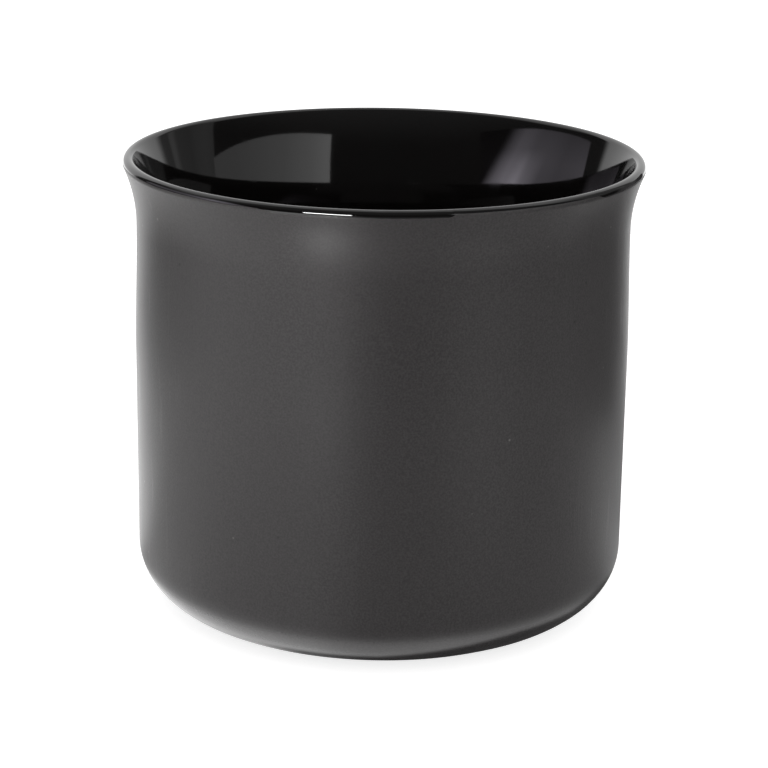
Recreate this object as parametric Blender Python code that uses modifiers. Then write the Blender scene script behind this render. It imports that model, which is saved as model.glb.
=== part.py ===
"""Ceramic mug with a flared lip: a clay body and strap handle, their slip joints and glaze coats.

Metres, +Z up. The mug stands on z = 0 and the handle points along +Y. The origin is under the
middle of the whole mug, handle included, so the bowl's own axis lies a little towards -Y.
"""

import math

import bmesh
import bpy
from mathutils import Vector

# Glazed outside of the bowl
HEIGHT = 0.0900
RIM_RADIUS = 0.0508
RIM_FLARE = 0.0025
NECK_DEPTH = 0.0133
BELLY_SWELL = 0.0005
BELLY_DEPTH = 0.0390
CORNER_RADIUS = 0.0114

# Glazed inside of the bowl
LIP_RADIUS = 0.00115
WALL_THICKNESS = 0.0062
BORE_NECK_DEPTH = 0.0250
FLOOR_LEVEL = 0.0068
FLOOR_CORNER_RADIUS = 0.0090

# Bare foot ring, with a recess inside it
FOOT_SET_IN = 0.0012
FOOT_WIDTH = 0.0034
FOOT_ROUND = 0.0004
GLAZE_ABOVE_TABLE = 0.0004
BARE_MARGIN = 0.0003
RECESS_HEIGHT = 0.0021
RECESS_CORNER = 0.0008

# Coats of glaze
GLAZE_THICKNESS = 0.0004
COAT_GAP = 0.0001

# Strap handle, whose centre line is an ear of two cubic curves
HANDLE_STANDOUT = 0.0342
HANDLE_WIDTH = 0.0136
HANDLE_THICKNESS = 0.0082
HANDLE_BELOW_LIP = 0.0175
HANDLE_BOTTOM = 0.0215
HANDLE_MIDDLE_LIFT = 0.0030
SHOULDER_RUN = 0.0230
SHOULDER_LIFT = 0.0035
SHOULDER_DROP = 0.0150
HEEL_RISE = 0.0180
HEEL_RUN = 0.0190
HEEL_DIP = 0.0010
ROOT_SPREAD = 1.28
ROOT_LENGTH = 0.0110

# Slip that sticks the handle's roots to the wall
SLIP_THICKNESS = 0.0008
SLIP_BEAD = 0.0010

# Fineness of the curves
TURN_STEPS = 48
LIP_STEPS = 6
FLARE_STEPS = 6
BELLY_STEPS = 3
CORNER_STEPS = 6
FLOOR_CORNER_STEPS = 4
FOOT_STEPS = 2
HANDLE_STEPS = 14
SECTION_RESOLUTION = 4
MITRE_LIMIT = 0.5
MERGE = 0.00001

NECK_RADIUS = RIM_RADIUS - RIM_FLARE
WALL_RADIUS = NECK_RADIUS + BELLY_SWELL
BORE_RADIUS = WALL_RADIUS - WALL_THICKNESS
FOOT_RADIUS = WALL_RADIUS - CORNER_RADIUS - FOOT_SET_IN
HANDLE_REACH = WALL_RADIUS + HANDLE_STANDOUT
HANDLE_TOP = HEIGHT - HANDLE_BELOW_LIP
HANDLE_MIDDLE = (HANDLE_TOP + HANDLE_BOTTOM) / 2 + HANDLE_MIDDLE_LIFT
BOWL_AXIS_Y = (RIM_RADIUS - HANDLE_REACH) / 2
LIP_CENTRE_RADIUS = RIM_RADIUS - LIP_RADIUS
LIP_CENTRE_HEIGHT = HEIGHT - LIP_RADIUS
COAT_DEPTH = GLAZE_THICKNESS + COAT_GAP
CORE_THICKNESS = HANDLE_THICKNESS - 2 * COAT_DEPTH
CORE_WIDTH = HANDLE_WIDTH - 2 * COAT_DEPTH
ROOT_INSIDE = (BORE_RADIUS + WALL_RADIUS) / 2
HANDLE_STAND_OFF = SLIP_THICKNESS + 2 * COAT_GAP


def clear_scene():
    """Remove the objects that are in the scene."""
    for old in list(bpy.data.objects):
        bpy.data.objects.remove(old)


def new_collection(name):
    """Make a collection in the scene."""
    collection = bpy.data.collections.new(name)
    bpy.context.scene.collection.children.link(collection)
    return collection


def make_material(name, colour, roughness, metallic=0.0, coat=0.0):
    """Make a Principled material."""
    material = bpy.data.materials.new(name)
    material.use_nodes = True
    shader = material.node_tree.nodes["Principled BSDF"]
    shader.inputs["Base Color"].default_value = (*colour, 1.0)
    shader.inputs["Roughness"].default_value = roughness
    shader.inputs["Metallic"].default_value = metallic
    shader.inputs["Coat Weight"].default_value = coat
    material.diffuse_color = (*colour, 1.0)
    return material


def arc(centre, radius, start, end, steps):
    """Points on an arc in the (radius, height) plane, from one angle in radians to another."""
    points = []
    for step in range(steps + 1):
        angle = start + (end - start) * step / steps
        points.append(
            (centre[0] + radius * math.cos(angle), centre[1] + radius * math.sin(angle))
        )
    return points


def inset(points, distance):
    """Move a line in the (radius, height) plane by a distance to the right of its direction."""
    moved = []
    for index, point in enumerate(points):
        before = Vector(points[max(index - 1, 0)])
        here = Vector(point)
        after = Vector(points[min(index + 1, len(points) - 1)])
        first = (here - before).normalized()
        second = (after - here).normalized()
        along = (first + second).normalized()
        widening = 1.0
        if 0 < index < len(points) - 1:
            widening = 1.0 / max(along.dot(first), MITRE_LIMIT)
        right = Vector((along.y, -along.x))
        shifted = here + right * distance * widening
        moved.append((max(shifted.x, 0.0), shifted.y))
    return moved


def lip_to_neck_radius(offset, fall, side):
    """Radius of the flare's arc that is upright at the neck and tangent to the lip's round.

    offset is the neck's radius less that of the lip's centre, fall is the height between them.
    side is 1 outside the bowl, where the two arcs bend opposite ways, and -1 inside it.
    """
    squares = offset**2 + fall**2 - LIP_RADIUS**2
    return squares / (2 * (side * LIP_RADIUS - offset))


def inner_line():
    """The glazed inside, from the floor's centre up to the lip's round."""
    corner_centre = (BORE_RADIUS - FLOOR_CORNER_RADIUS, FLOOR_LEVEL + FLOOR_CORNER_RADIUS)
    corner = arc(corner_centre, FLOOR_CORNER_RADIUS, -math.pi / 2, 0.0, FLOOR_CORNER_STEPS)
    fall = BORE_NECK_DEPTH - LIP_RADIUS
    radius = lip_to_neck_radius(BORE_RADIUS - LIP_CENTRE_RADIUS, fall, -1)
    lean = math.asin(fall / (radius - LIP_RADIUS))
    flare_centre = (BORE_RADIUS + radius, HEIGHT - BORE_NECK_DEPTH)
    flare = arc(flare_centre, radius, math.pi, math.pi - lean, FLARE_STEPS)
    return [(0.0, FLOOR_LEVEL)] + corner + flare, math.pi - lean


def outer_flare():
    """The glazed outside from the lip's round down to the neck."""
    fall = NECK_DEPTH - LIP_RADIUS
    radius = lip_to_neck_radius(NECK_RADIUS - LIP_CENTRE_RADIUS, fall, 1)
    lean = math.asin(fall / (radius + LIP_RADIUS))
    flare_centre = (NECK_RADIUS + radius, HEIGHT - NECK_DEPTH)
    return arc(flare_centre, radius, math.pi - lean, math.pi, FLARE_STEPS), -lean


def belly_line():
    """The glazed outside from the neck to the fullest part of the wall, eased at both ends."""
    points = []
    for step in range(1, BELLY_STEPS + 1):
        share = step / BELLY_STEPS
        swell = (1 - math.cos(math.pi * share)) / 2
        points.append(
            (
                NECK_RADIUS + (WALL_RADIUS - NECK_RADIUS) * swell,
                HEIGHT - NECK_DEPTH - (BELLY_DEPTH - NECK_DEPTH) * share,
            )
        )
    return points


def corner_line():
    """The glazed outside of the lower corner, and the short flat on to the foot."""
    centre = (WALL_RADIUS - CORNER_RADIUS, GLAZE_ABOVE_TABLE + CORNER_RADIUS)
    corner = arc(centre, CORNER_RADIUS, 0.0, -math.pi / 2, CORNER_STEPS)
    return corner + [(FOOT_RADIUS + BARE_MARGIN, GLAZE_ABOVE_TABLE)]


def glazed_lines():
    """The glazed surface as two lines that meet where the lip's round ends outside the bowl.

    The gloss coat's runs from the floor's centre up and over the lip, the matt coat's down to the foot.
    """
    inside, lip_start = inner_line()
    flare, lip_end = outer_flare()
    lip_centre = (LIP_CENTRE_RADIUS, LIP_CENTRE_HEIGHT)
    lip = arc(lip_centre, LIP_RADIUS, lip_start, lip_end, LIP_STEPS)
    return inside + lip[1:], flare + belly_line() + corner_line()


def profile_object(name, points, closed=False):
    """A profile in the XZ plane, as a mesh of edges that a Screw can turn."""
    mesh = bpy.data.meshes.new(name)
    edges = [(index, index + 1) for index in range(len(points) - 1)]
    if closed:
        edges.append((len(points) - 1, 0))
    mesh.from_pydata([(radius, 0.0, height) for radius, height in points], edges, [])
    return bpy.data.objects.new(name, mesh)


def add_turn(obj):
    """Turn a profile about Z into a closed or open surface."""
    screw = obj.modifiers.new("Turn", "SCREW")
    screw.axis = "Z"
    screw.steps = TURN_STEPS
    screw.render_steps = TURN_STEPS
    screw.use_merge_vertices = True
    screw.merge_threshold = MERGE
    screw.use_smooth_shade = True
    return screw


def add_thickness(obj, thickness, offset):
    """Give an open surface a thickness, on the side that offset names."""
    solidify = obj.modifiers.new("Thickness", "SOLIDIFY")
    solidify.thickness = thickness
    solidify.offset = offset
    solidify.use_even_offset = True
    return solidify


def add_boolean(obj, cutter, operation):
    """Cut or keep a shape with another object."""
    boolean = obj.modifiers.new(operation.title(), "BOOLEAN")
    boolean.operation = operation
    boolean.solver = "EXACT"
    boolean.object = cutter
    return boolean


def bezier(start, first, second, end, share):
    """A point on a cubic curve."""
    rest = 1 - share
    return (
        start * rest**3
        + first * 3 * rest**2 * share
        + second * 3 * rest * share**2
        + end * share**3
    )


def handle_points(steps):
    """The handle's centre line from inside the wall at the top to inside it at the bottom."""
    top = Vector((0.0, WALL_RADIUS, HANDLE_TOP))
    middle = Vector((0.0, HANDLE_REACH - HANDLE_THICKNESS / 2, HANDLE_MIDDLE))
    bottom = Vector((0.0, WALL_RADIUS, HANDLE_BOTTOM))
    shoulder = top + Vector((0.0, SHOULDER_RUN, SHOULDER_LIFT))
    above = middle + Vector((0.0, 0.0, SHOULDER_DROP))
    under = middle - Vector((0.0, 0.0, HEEL_RISE))
    heel = bottom + Vector((0.0, HEEL_RUN, -HEEL_DIP))
    upper = [bezier(top, shoulder, above, middle, step / steps) for step in range(steps)]
    lower = [bezier(middle, under, heel, bottom, step / steps) for step in range(steps + 1)]
    top_inside = Vector((0.0, ROOT_INSIDE, HANDLE_TOP))
    bottom_inside = Vector((0.0, ROOT_INSIDE, HANDLE_BOTTOM))
    return [top_inside] + upper + lower + [bottom_inside]


def root_scale(point):
    """How much wider the handle is at a point of its centre line, for its spread roots."""
    away = max(point.y - WALL_RADIUS, 0.0)
    near = max(1.0 - away / ROOT_LENGTH, 0.0)
    return 1.0 + (ROOT_SPREAD - 1.0) * near**2


def swept_handle(name, width, thickness, points, scales, capped):
    """A strap of an oval section, scaled at each of the points that it runs along, as a mesh."""
    section = bpy.data.curves.new(name + "_section", "CURVE")
    section.dimensions = "2D"
    section.resolution_u = SECTION_RESOLUTION
    oval = section.splines.new("BEZIER")
    oval.bezier_points.add(3)
    oval.use_cyclic_u = True
    corners = ((width / 2, 0), (0, thickness / 2), (-width / 2, 0), (0, -thickness / 2))
    for knot, (across, through) in zip(oval.bezier_points, corners):
        knot.co = (across, through, 0.0)
        knot.handle_left_type = "AUTO"
        knot.handle_right_type = "AUTO"
    section_object = bpy.data.objects.new(name + "_section", section)
    bpy.context.scene.collection.objects.link(section_object)

    path = bpy.data.curves.new(name + "_path", "CURVE")
    path.dimensions = "3D"
    path.twist_mode = "MINIMUM"
    path.bevel_mode = "OBJECT"
    path.bevel_object = section_object
    path.use_fill_caps = capped
    line = path.splines.new("POLY")
    line.points.add(len(points) - 1)
    for knot, point, scale in zip(line.points, points, scales):
        knot.co = (*point, 1.0)
        knot.radius = scale
    path_object = bpy.data.objects.new(name + "_path", path)
    bpy.context.scene.collection.objects.link(path_object)

    bpy.context.view_layer.update()
    evaluated = path_object.evaluated_get(bpy.context.evaluated_depsgraph_get())
    mesh = bpy.data.meshes.new_from_object(evaluated)
    mesh.name = name
    swept = bpy.data.objects.new(name, mesh)
    swept.matrix_world = path_object.matrix_world
    bpy.data.objects.remove(path_object)
    bpy.data.objects.remove(section_object)
    weld_and_face_out(mesh)
    return swept


def weld_and_face_out(mesh):
    """Weld a swept mesh's caps to its sides and turn its faces outwards."""
    shape = bmesh.new()
    shape.from_mesh(mesh)
    bmesh.ops.remove_doubles(shape, verts=shape.verts, dist=MERGE)
    bmesh.ops.recalc_face_normals(shape, faces=shape.faces)
    shape.to_mesh(mesh)
    shape.free()
    mesh.shade_smooth()


def place(obj, collection, bowl, material=None):
    """Put a finished piece in its collection, under the bowl's axis."""
    collection.objects.link(obj)
    obj.parent = bowl
    if material is not None:
        obj.data.materials.append(material)
        obj.data.shade_smooth()
    return obj


def place_cutter(obj, collection, bowl):
    """Put a helper shape with the cutters, out of the render."""
    place(obj, collection, bowl)
    obj.hide_render = True
    obj.display_type = "WIRE"
    return obj


def clay_line():
    """The closed outline of the clay body, from the floor's centre round to the recess's centre."""
    gloss_line, matt_line = glazed_lines()
    clay = inset(gloss_line + matt_line[1:], COAT_DEPTH)
    foot_inner = FOOT_RADIUS - FOOT_WIDTH
    outer_centre = (FOOT_RADIUS - FOOT_ROUND, FOOT_ROUND)
    outer_round = arc(outer_centre, FOOT_ROUND, 0.0, -math.pi / 2, FOOT_STEPS)
    inner_centre = (foot_inner + FOOT_ROUND, FOOT_ROUND)
    inner_round = arc(inner_centre, FOOT_ROUND, -math.pi / 2, -math.pi, FOOT_STEPS)
    corner_centre = (foot_inner - RECESS_CORNER, RECESS_HEIGHT - RECESS_CORNER)
    recess_corner = arc(corner_centre, RECESS_CORNER, 0.0, math.pi / 2, FOOT_STEPS)
    foot_top = (FOOT_RADIUS, GLAZE_ABOVE_TABLE + COAT_DEPTH)
    return clay + [foot_top] + outer_round + inner_round + recess_corner + [(0.0, RECESS_HEIGHT)]


def wall_barrel(name, stand_off, cutters, bowl):
    """A solid of revolution whose side stands off the clay wall outside, to cut against."""
    side = inset(glazed_lines()[1][:-1], COAT_DEPTH - stand_off)
    outline = [(0.0, side[0][1])] + side + [(0.0, side[-1][1])]
    barrel = profile_object(name, outline)
    add_turn(barrel)
    return place_cutter(barrel, cutters, bowl)


def wall_ring(name, inner_stand_off, outer_stand_off, cutters, bowl):
    """A sleeve round the wall between two distances off the clay, to keep slip inside."""
    wall = glazed_lines()[1][:-1]
    outer = inset(wall, COAT_DEPTH - outer_stand_off)
    inner = inset(wall, COAT_DEPTH - inner_stand_off)
    ring = profile_object(name, outer + inner[::-1], closed=True)
    add_turn(ring)
    return place_cutter(ring, cutters, bowl)


def root_stub(name, height, margin):
    """A straight stub of the handle's root, enlarged by a margin all round."""
    root_end = WALL_RADIUS + SLIP_THICKNESS + HANDLE_THICKNESS / 2
    points = [Vector((0.0, ROOT_INSIDE, height)), Vector((0.0, root_end, height))]
    width = CORE_WIDTH * ROOT_SPREAD + 2 * margin
    thickness = CORE_THICKNESS * ROOT_SPREAD + 2 * margin
    return swept_handle(name, width, thickness, points, (1.0, 1.0), True)


def make_body(parts, bowl, clay):
    """The clay bowl with its foot."""
    body = profile_object("stoneware_body", clay_line())
    add_turn(body)
    return place(body, parts, bowl, clay)


def coat_outline(surface):
    """A coat's outline: its glazed surface, and back along its underside in the clay."""
    return surface + inset(surface, GLAZE_THICKNESS)[::-1]


def make_bowl_coats(parts, bowl, gloss, matt):
    """The gloss coat inside and over the lip, the matt coat outside, and the patch underneath."""
    gloss_line, matt_line = glazed_lines()
    inner = profile_object("inner_gloss_glaze", coat_outline(gloss_line))
    add_turn(inner)
    place(inner, parts, bowl, gloss)

    start = Vector(matt_line[0])
    gap_along = (Vector(matt_line[1]) - start).normalized() * COAT_GAP
    surface = [tuple(start + gap_along)] + matt_line[1:]
    outer = profile_object("outer_matt_glaze", coat_outline(surface), closed=True)
    add_turn(outer)
    place(outer, parts, bowl, matt)

    patch_radius = FOOT_RADIUS - FOOT_WIDTH - RECESS_CORNER
    patch_height = RECESS_HEIGHT - COAT_GAP
    patch = profile_object(
        "underside_glaze",
        [
            (0.0, patch_height),
            (patch_radius, patch_height),
            (patch_radius - GLAZE_THICKNESS / 2, patch_height - GLAZE_THICKNESS),
            (0.0, patch_height - GLAZE_THICKNESS),
        ],
    )
    add_turn(patch)
    place(patch, parts, bowl, matt)
    return outer


def make_handle(parts, cutters, bowl, outer_coat, clay, slip, matt):
    """The strap handle, its coat, and the slip that holds its two roots."""
    barrel = wall_barrel("handle_end_cutter", HANDLE_STAND_OFF, cutters, bowl)
    points = handle_points(HANDLE_STEPS)
    scales = [root_scale(point) for point in points]

    core = swept_handle("handle", CORE_WIDTH, CORE_THICKNESS, points, scales, True)
    place(core, parts, bowl, clay)
    add_boolean(core, barrel, "DIFFERENCE")

    sleeve_width = CORE_WIDTH + 2 * COAT_GAP
    sleeve_thickness = CORE_THICKNESS + 2 * COAT_GAP
    sleeve = swept_handle(
        "handle_matt_glaze", sleeve_width, sleeve_thickness, points, scales, False
    )
    place(sleeve, parts, bowl, matt)
    add_thickness(sleeve, GLAZE_THICKNESS, 1.0)
    add_boolean(sleeve, barrel, "DIFFERENCE")

    ring = wall_ring("slip_ring_cutter", COAT_GAP, COAT_GAP + SLIP_THICKNESS, cutters, bowl)
    for name, height in (("upper", HANDLE_TOP), ("lower", HANDLE_BOTTOM)):
        pad = root_stub(name + "_slip_joint", height, SLIP_BEAD)
        place(pad, parts, bowl, slip)
        add_boolean(pad, ring, "INTERSECT")
        hole = root_stub(name + "_root_cutter", height, SLIP_BEAD + COAT_GAP)
        place_cutter(hole, cutters, bowl)
        add_boolean(outer_coat, hole, "DIFFERENCE")


def main():
    clear_scene()
    parts = new_collection("mug")
    cutters = new_collection("cutters")
    bowl = bpy.data.objects.new("bowl_axis", None)
    bowl.location = (0.0, BOWL_AXIS_Y, 0.0)
    parts.objects.link(bowl)

    clay = make_material("fired_clay", (0.62, 0.56, 0.48), 0.85)
    slip = make_material("fired_slip", (0.55, 0.50, 0.43), 0.85)
    matt = make_material("matt_charcoal_glaze", (0.085, 0.082, 0.080), 0.5, metallic=0.3)
    gloss = make_material("black_gloss_glaze", (0.006, 0.006, 0.006), 0.06, coat=0.3)

    make_body(parts, bowl, clay)
    outer_coat = make_bowl_coats(parts, bowl, gloss, matt)
    make_handle(parts, cutters, bowl, outer_coat, clay, slip, matt)


main()
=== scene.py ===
"""Stoneware mug with a flared lip: its glaze coats, clay and handle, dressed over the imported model.

Metres, +Z up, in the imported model's frame. Turn angles are in degrees round the bowl, 0 towards
the camera and positive to its right. Heights marked "on the lip" are from the lip round's centre.
"""

import math

import bmesh
import bpy
import numpy as np
from mathutils import Matrix, Vector, noise


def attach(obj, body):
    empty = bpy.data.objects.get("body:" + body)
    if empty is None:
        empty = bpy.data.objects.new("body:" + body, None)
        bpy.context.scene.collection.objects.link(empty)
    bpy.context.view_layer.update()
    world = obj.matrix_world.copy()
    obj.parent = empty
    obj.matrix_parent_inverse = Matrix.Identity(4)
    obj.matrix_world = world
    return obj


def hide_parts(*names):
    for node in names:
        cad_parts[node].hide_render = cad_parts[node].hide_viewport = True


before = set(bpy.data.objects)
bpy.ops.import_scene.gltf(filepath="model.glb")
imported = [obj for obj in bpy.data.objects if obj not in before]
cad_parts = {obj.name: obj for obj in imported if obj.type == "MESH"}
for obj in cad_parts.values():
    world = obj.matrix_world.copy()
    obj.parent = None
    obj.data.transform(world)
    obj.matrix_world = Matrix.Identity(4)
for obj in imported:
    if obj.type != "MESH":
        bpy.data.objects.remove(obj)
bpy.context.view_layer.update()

# The bowl's glazed outside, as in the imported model
HEIGHT = 0.0900
RIM_RADIUS = 0.0508
NECK_RADIUS = 0.0483
NECK_DEPTH = 0.0133
WALL_RADIUS = 0.0488
BELLY_DEPTH = 0.0390
CORNER_RADIUS = 0.0114
GLAZE_ABOVE_TABLE = 0.0004

# The bowl's glazed inside
LIP_RADIUS = 0.00115
BORE_RADIUS = 0.0426
BORE_NECK_DEPTH = 0.0250
FLOOR_LEVEL = 0.0068
FLOOR_CORNER_RADIUS = 0.0090

# The bare foot ring and the recess inside it
FOOT_RADIUS = 0.0362
FOOT_WIDTH = 0.0034
FOOT_ROUND = 0.0004
BARE_MARGIN = 0.0003
RECESS_HEIGHT = 0.0021
RECESS_CORNER = 0.0008

# The coats of glaze
GLAZE_THICKNESS = 0.0004
COAT_GAP = 0.0001
COAT_DEPTH = GLAZE_THICKNESS + COAT_GAP
EDGE_BEAD = 0.00008
PATCH_BEAD = 0.00018

# The strap handle
HANDLE_REACH = 0.0830
HANDLE_WIDTH = 0.0136
HANDLE_THICKNESS = 0.0082
HANDLE_TOP = 0.0725
HANDLE_MIDDLE = 0.0500
HANDLE_BOTTOM = 0.0215
SHOULDER_RUN = 0.0230
SHOULDER_LIFT = 0.0035
SHOULDER_DROP = 0.0150
HEEL_RISE = 0.0180
HEEL_RUN = 0.0190
HEEL_DIP = 0.0010
ROOT_SPREAD = 1.28
ROOT_LENGTH = 0.0110
ROOT_FILLET = 0.0032
ROOT_SINK = 0.00015
ROOT_SETTLE = 0.00004
ROOT_BLEND = 0.0100
STRAP_FULLNESS = 2.5

BOWL_AXIS_Y = (RIM_RADIUS - HANDLE_REACH) / 2
LIP_CENTRE_RADIUS = RIM_RADIUS - LIP_RADIUS
LIP_CENTRE_HEIGHT = HEIGHT - LIP_RADIUS
NECK_HEIGHT = HEIGHT - NECK_DEPTH
BELLY_HEIGHT = HEIGHT - BELLY_DEPTH

# Fineness of the meshes
TURN_STEPS = 480
LIP_STEPS = 14
FLARE_STEPS = 26
BELLY_STEPS = 16
WALL_STEPS = 26
CORNER_STEPS = 22
FOOT_STEPS = 5
FLOOR_STEPS = 16
BORE_STEPS = 40
BEAD_STEPS = 4
STRAP_STEPS = 72
STRAP_TURN = 72
FILLET_STEPS = 9
FINE_STEPS = 600
UNDERSIDE_STRIDE = 3
CLAY_STRIDE = 2
CANOPY_RINGS = 24
CANOPY_TURNS = 64
WELD_DISTANCE = 1e-7
TINY = 1e-12

# The unevenness of a dipped coat: its depth, its size and where its noise starts, then how much
# longer it is upwards, and how much finer and how strong its second wave is
OUTER_WAVE = (0.00003, 0.014, 3.1)
INNER_WAVE = (0.000006, 0.011, 8.3)
WAVE_STRETCH = 1.6
FINE_WAVE = 2.7
FINE_WAVE_SHARE = 0.35


def ease(low, high, value):
    """Rise smoothly from 0 at low to 1 at high."""
    share = np.clip((value - low) / (high - low), 0.0, 1.0)
    return share * share * (3 - 2 * share)


def arc(centre, radius, start, end, steps):
    """Points on an arc in the (radius, height) plane."""
    angles = np.linspace(start, end, steps + 1)
    return np.stack(
        (centre[0] + radius * np.cos(angles), centre[1] + radius * np.sin(angles)), axis=-1
    )


def line(start, end, steps):
    """Points on a straight line in the (radius, height) plane."""
    shares = np.linspace(0.0, 1.0, steps + 1)[:, None]
    return np.asarray(start) * (1 - shares) + np.asarray(end) * shares


def flare_radius(offset, fall, side):
    """Radius of the flare's arc that is upright at the neck and tangent to the lip's round."""
    return (offset**2 + fall**2 - LIP_RADIUS**2) / (2 * (side * LIP_RADIUS - offset))


OUTER_FALL = NECK_DEPTH - LIP_RADIUS
OUTER_FLARE = flare_radius(NECK_RADIUS - LIP_CENTRE_RADIUS, OUTER_FALL, 1)
OUTER_LEAN = math.asin(OUTER_FALL / (OUTER_FLARE + LIP_RADIUS))
INNER_FALL = BORE_NECK_DEPTH - LIP_RADIUS
INNER_FLARE = flare_radius(BORE_RADIUS - LIP_CENTRE_RADIUS, INNER_FALL, -1)
INNER_LEAN = math.asin(INNER_FALL / (INNER_FLARE - LIP_RADIUS))


def wall_radius(height):
    """The glazed outside's radius at a height between the corner and the lip."""
    rise = np.clip(height - NECK_HEIGHT, 0.0, OUTER_FALL)
    flare = OUTER_FLARE - np.sqrt(OUTER_FLARE**2 - rise**2)
    fall = np.clip((NECK_HEIGHT - height) / (NECK_HEIGHT - BELLY_HEIGHT), 0.0, 1.0)
    swell = (WALL_RADIUS - NECK_RADIUS) * (1 - np.cos(math.pi * fall)) / 2
    return NECK_RADIUS + flare + swell


def outer_profile():
    """The matt coat's surface from the end of the lip's round down to the foot."""
    centre = (NECK_RADIUS + OUTER_FLARE, NECK_HEIGHT)
    flare = arc(centre, OUTER_FLARE, math.pi - OUTER_LEAN, math.pi, FLARE_STEPS)
    heights = np.linspace(NECK_HEIGHT, BELLY_HEIGHT, BELLY_STEPS + 1)
    belly = np.stack((wall_radius(heights), heights), axis=-1)
    corner_top = GLAZE_ABOVE_TABLE + CORNER_RADIUS
    wall = line((WALL_RADIUS, BELLY_HEIGHT), (WALL_RADIUS, corner_top), WALL_STEPS)
    corner_centre = (WALL_RADIUS - CORNER_RADIUS, corner_top)
    corner = arc(corner_centre, CORNER_RADIUS, 0.0, -math.pi / 2, CORNER_STEPS)
    foot = line(corner[-1], (FOOT_RADIUS + BARE_MARGIN, GLAZE_ABOVE_TABLE), 2)
    return np.concatenate((flare, belly[1:], wall[1:], corner[1:], foot[1:]))


def inner_profile():
    """The gloss coat's surface from the floor's centre up to the start of the lip's round."""
    corner_centre = (BORE_RADIUS - FLOOR_CORNER_RADIUS, FLOOR_LEVEL + FLOOR_CORNER_RADIUS)
    floor = line((0.0, FLOOR_LEVEL), (corner_centre[0], FLOOR_LEVEL), FLOOR_STEPS)
    corner = arc(corner_centre, FLOOR_CORNER_RADIUS, -math.pi / 2, 0.0, CORNER_STEPS)
    bore_top = (BORE_RADIUS, HEIGHT - BORE_NECK_DEPTH)
    bore = line(corner[-1], bore_top, BORE_STEPS)
    flare_centre = (BORE_RADIUS + INNER_FLARE, bore_top[1])
    flare = arc(flare_centre, INNER_FLARE, math.pi, math.pi - INNER_LEAN, FLARE_STEPS)
    return np.concatenate((floor, corner[1:], bore[1:], flare[1:]))


# Height on the lip at which the black gloss ends and the matt begins, at the back, and then the
# turn angles between which it rises or falls, and by how much
GLOSS_END_BACK = 0.00010
GLOSS_END_STEPS = (
    (-110.0, -75.0, 0.00010),
    (-27.0, -21.0, -0.00035),
    (-26.0, -22.0, -0.00018),
    (-17.0, -12.0, 0.00018),
    (13.0, 14.8, 0.00059),
    (50.0, 53.0, -0.00069),
    (60.0, 65.0, 0.00035),
)

# Its small waves: how fine they are, where their noise starts, and their height
GLOSS_END_WAVES = ((9.0, 0.4, 0.000070), (31.0, 2.7, 0.000035), (90.0, 5.1, 0.000028))


def gloss_end(turn):
    """Angle on the lip's round, from level, at which the gloss coat ends."""
    height = np.full(turn.shape, GLOSS_END_BACK)
    for start, end, change in GLOSS_END_STEPS:
        height += change * ease(start, end, turn)
    for fineness, seed, size in GLOSS_END_WAVES:
        for index, angle in enumerate(np.radians(turn)):
            place = Vector((fineness * math.cos(angle), fineness * math.sin(angle), seed))
            height[index] += size * noise.noise(place)
    return np.arcsin(height / LIP_RADIUS)


TURNS = np.arange(TURN_STEPS) * 360.0 / TURN_STEPS - 180.0
GLOSS_ENDS = gloss_end(TURNS)


def lip_arc(start, end, steps):
    """Rows of the lip's round between two angles, each of which may change round the bowl."""
    starts = np.broadcast_to(start, TURNS.shape)
    ends = np.broadcast_to(end, TURNS.shape)
    shares = np.linspace(0.0, 1.0, steps + 1)[:, None]
    angles = starts * (1 - shares) + ends * shares
    radii = LIP_CENTRE_RADIUS + LIP_RADIUS * np.cos(angles)
    heights = LIP_CENTRE_HEIGHT + LIP_RADIUS * np.sin(angles)
    return np.stack((radii, heights), axis=-1)


def all_round(profile):
    """The same profile at every turn angle."""
    return np.repeat(profile[:, None, :], TURN_STEPS, axis=1)


def right_of(rows):
    """Unit directions to the right of the way that each column of rows runs."""
    along = np.gradient(rows, axis=0)
    along /= np.linalg.norm(along, axis=-1, keepdims=True) + TINY
    return np.stack((along[..., 1], -along[..., 0]), axis=-1)


def rounded_edge(point, outward, right, bead, thickness):
    """Rows that turn a coat's edge over from its surface to its underside."""
    rows = []
    for angle in np.linspace(0.0, math.pi / 2, BEAD_STEPS + 1)[1:]:
        rows.append(point + outward * bead * math.sin(angle) + right * bead * (1 - math.cos(angle)))
    rows.append(point + outward * bead + right * thickness)
    return rows


def ends_of(rows):
    """Unit directions out of the first and last rows, along the surface."""
    first = rows[0] - rows[1]
    last = rows[-1] - rows[-2]
    first /= np.linalg.norm(first, axis=-1, keepdims=True)
    last /= np.linalg.norm(last, axis=-1, keepdims=True)
    return first, last


def hand_wave(rows, depth, grain, seed):
    """Move a surface in and out by the slight unevenness that a dipped coat has."""
    right = right_of(rows)
    angles = np.radians(TURNS)
    moved = rows.copy()
    for row in range(rows.shape[0]):
        for column in range(rows.shape[1]):
            radius, height = rows[row, column]
            place = Vector(
                (
                    radius * math.sin(angles[column]) / grain,
                    radius * math.cos(angles[column]) / grain,
                    height / grain / WAVE_STRETCH + seed,
                )
            )
            wave = noise.noise(place) + FINE_WAVE_SHARE * noise.noise(place * FINE_WAVE)
            moved[row, column] += right[row, column] * depth * wave
    return moved


def ring_faces(count, steps, closed):
    """Faces between rings of points. A closed shape joins its last ring to its first."""
    faces = []
    for row in range(count if closed else count - 1):
        here = row * steps
        there = (row + 1) % count * steps
        for step in range(steps):
            onward = (step + 1) % steps
            faces.append((here + step, there + step, there + onward, here + onward))
    return faces


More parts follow.
